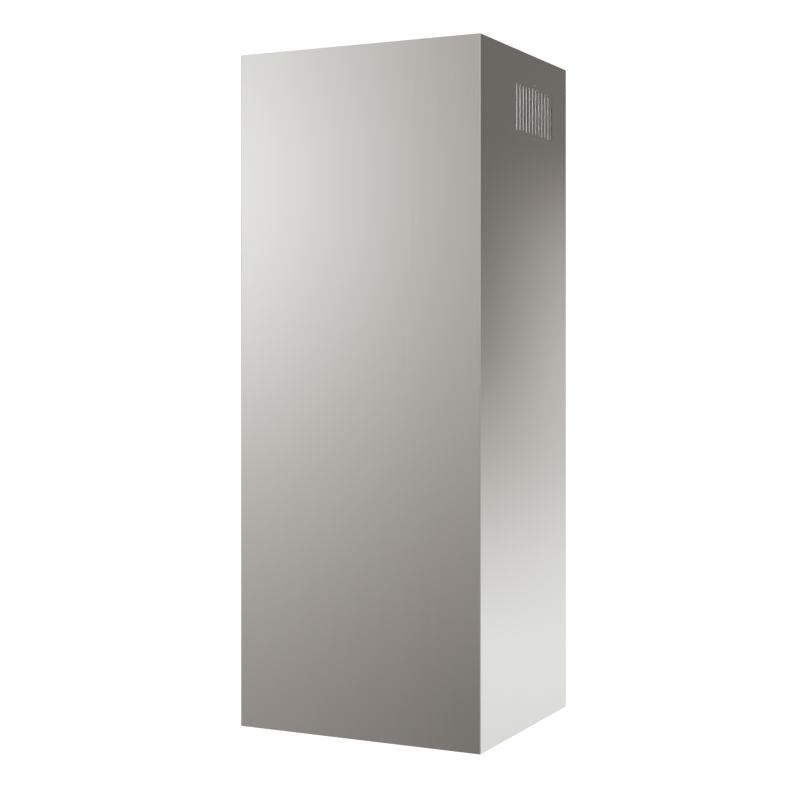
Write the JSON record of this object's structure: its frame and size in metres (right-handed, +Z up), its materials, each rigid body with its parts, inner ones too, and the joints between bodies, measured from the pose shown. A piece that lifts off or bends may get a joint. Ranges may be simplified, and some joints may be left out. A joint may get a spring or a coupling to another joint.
{
  "type": "island range hood",
  "caption": "Tall ceiling-hung column range hood in brushed steel, with slotted side vents, an underside filter, lamps and keys, and its blower inside.",
  "frame": {"origin": "On the ceiling, in the middle of the ceiling bracket's bolt pattern; the whole hood hangs below it", "axes": "+Z up towards the ceiling, front face towards -Y, +X to the right as seen from the front"},
  "size_m": [0.356, 0.309, 0.915],
  "materials": {
    "casing_steel": "brushed stainless steel sheet, vertical grain, satin",
    "tray_steel": "brushed stainless steel sheet, satin",
    "galvanised": "zinc-coated steel sheet, faint spangle",
    "frame_zinc": "bright zinc-plated folded steel",
    "zinc_screw": "bright zinc-plated fasteners",
    "filter_aluminium": "expanded aluminium mesh, several layers",
    "filter_steel": "folded stainless steel frame",
    "vent_plastic": "moulded light grey plastic",
    "black_plastic": "moulded black plastic, fine texture",
    "key_metal": "satin metal key caps",
    "fascia_black": "gloss black plastic",
    "lens": "frosted glass",
    "led": "white lamp board",
    "board_green": "circuit board",
    "rubber": "black rubber",
    "charcoal": "activated charcoal granules",
    "motor_alloy": "die-cast aluminium",
    "motor_copper": "steel stack with copper windings",
    "shaft_steel": "ground steel"
  },
  "bodies": {
    "hood": {"air_diverter": "galvanised", "blower_chassis": "galvanised", "blower_screws": "zinc_screw", "cable_gland": "black_plastic", "casing_shell": "casing_steel", "ceiling_bracket": "frame_zinc", "control_board": "board_green", "control_fascia": "fascia_black", "damper_pin": "zinc_screw", "diverter_hangers": "frame_zinc", "diverter_sleeve_left": "vent_plastic", "diverter_sleeve_right": "vent_plastic", "diverter_spigot": "galvanised", "diverter_splitter": "galvanised", "duct_clamps": "frame_zinc", "electronics_box": "galvanised", "electronics_cover": "galvanised", "exhaust_duct": "galvanised", "filter_magnets": "black_plastic", "frame_cross_braces": "frame_zinc", "frame_screws": "zinc_screw", "frame_uprights": "frame_zinc", "lamp_driver": "vent_plastic", "lamp_housings": "key_metal", "lamp_led_boards": "led", "lamp_lenses": "lens", "motor_bearings": "shaft_steel", "motor_bracket": "frame_zinc", "motor_capacitor": "black_plastic", "motor_end_bell_left": "motor_alloy", "motor_end_bell_right": "motor_alloy", "motor_grommets": "rubber", "motor_stator": "motor_copper", "outlet_collar": "galvanised", "outlet_gasket": "rubber", "rear_cover": "casing_steel", "rear_cover_clips": "frame_zinc", "scroll_housing_left": "galvanised", "scroll_housing_right": "galvanised", "terminal_block": "black_plastic", "tray_screws": "zinc_screw", "under_tray": "tray_steel"},
    "impeller_set": {"impeller": "galvanised", "motor_shaft": "shaft_steel", "motor_rotor": "shaft_steel", "impeller_nut": "zinc_screw"},
    "flap_front": {"damper_flap_front": "galvanised"},
    "flap_rear": {"damper_flap_rear": "galvanised"},
    "filter": {"filter_frame": "filter_steel", "filter_mesh": "filter_aluminium", "filter_pull": "filter_steel"},
    "cartridge_left": {"charcoal_cartridge_left": "black_plastic", "charcoal_core_left": "charcoal"},
    "cartridge_right": {"charcoal_cartridge_right": "black_plastic", "charcoal_core_right": "charcoal"},
    "key_lamps": {"button_lamps": "key_metal"},
    "key_speed_1": {"button_speed_1": "key_metal"},
    "key_speed_2": {"button_speed_2": "key_metal"},
    "key_speed_3": {"button_speed_3": "key_metal"},
    "key_stop": {"button_stop": "key_metal"}
  },
  "joints": [
    {"name": "impeller_spin", "type": "hinge", "parent": "hood", "child": "impeller_set", "pos_m": [0, -0.0396, -0.7418], "axis": [1, 0, 0], "continuous": true},
    {"name": "flap_rear_swing", "type": "hinge", "parent": "hood", "child": "flap_rear", "pos_m": [0, 0.0329, -0.5598], "axis": [1, 0, 0], "range_deg": [0, 75]},
    {"name": "flap_front_swing", "type": "hinge", "parent": "hood", "child": "flap_front", "pos_m": [0, 0.0329, -0.5598], "axis": [-1, 0, 0], "range_deg": [0, 75]},
    {"name": "filter_tilt", "type": "hinge", "parent": "hood", "child": "filter", "pos_m": [0, 0.132, -0.9028], "axis": [1, 0, 0], "range_deg": [0, 70]},
    {"name": "cartridge_left_twist", "type": "hinge", "parent": "hood", "child": "cartridge_left", "pos_m": [-0.078, -0.0396, -0.7418], "axis": [-1, 0, 0], "range_deg": [0, 30]},
    {"name": "cartridge_right_twist", "type": "hinge", "parent": "hood", "child": "cartridge_right", "pos_m": [0.078, -0.0396, -0.7418], "axis": [1, 0, 0], "range_deg": [0, 30]},
    {"name": "lamps_press", "type": "slide", "parent": "hood", "child": "key_lamps", "axis": [0, 0, 1], "range_m": [0, 0.0015], "stiffness_N_per_m": 800},
    {"name": "speed_1_press", "type": "slide", "parent": "hood", "child": "key_speed_1", "axis": [0, 0, 1], "range_m": [0, 0.0015], "stiffness_N_per_m": 800},
    {"name": "speed_2_press", "type": "slide", "parent": "hood", "child": "key_speed_2", "axis": [0, 0, 1], "range_m": [0, 0.0015], "stiffness_N_per_m": 800},
    {"name": "speed_3_press", "type": "slide", "parent": "hood", "child": "key_speed_3", "axis": [0, 0, 1], "range_m": [0, 0.0015], "stiffness_N_per_m": 800},
    {"name": "stop_press", "type": "slide", "parent": "hood", "child": "key_stop", "axis": [0, 0, 1], "range_m": [0, 0.0015], "stiffness_N_per_m": 800}
  ]
}
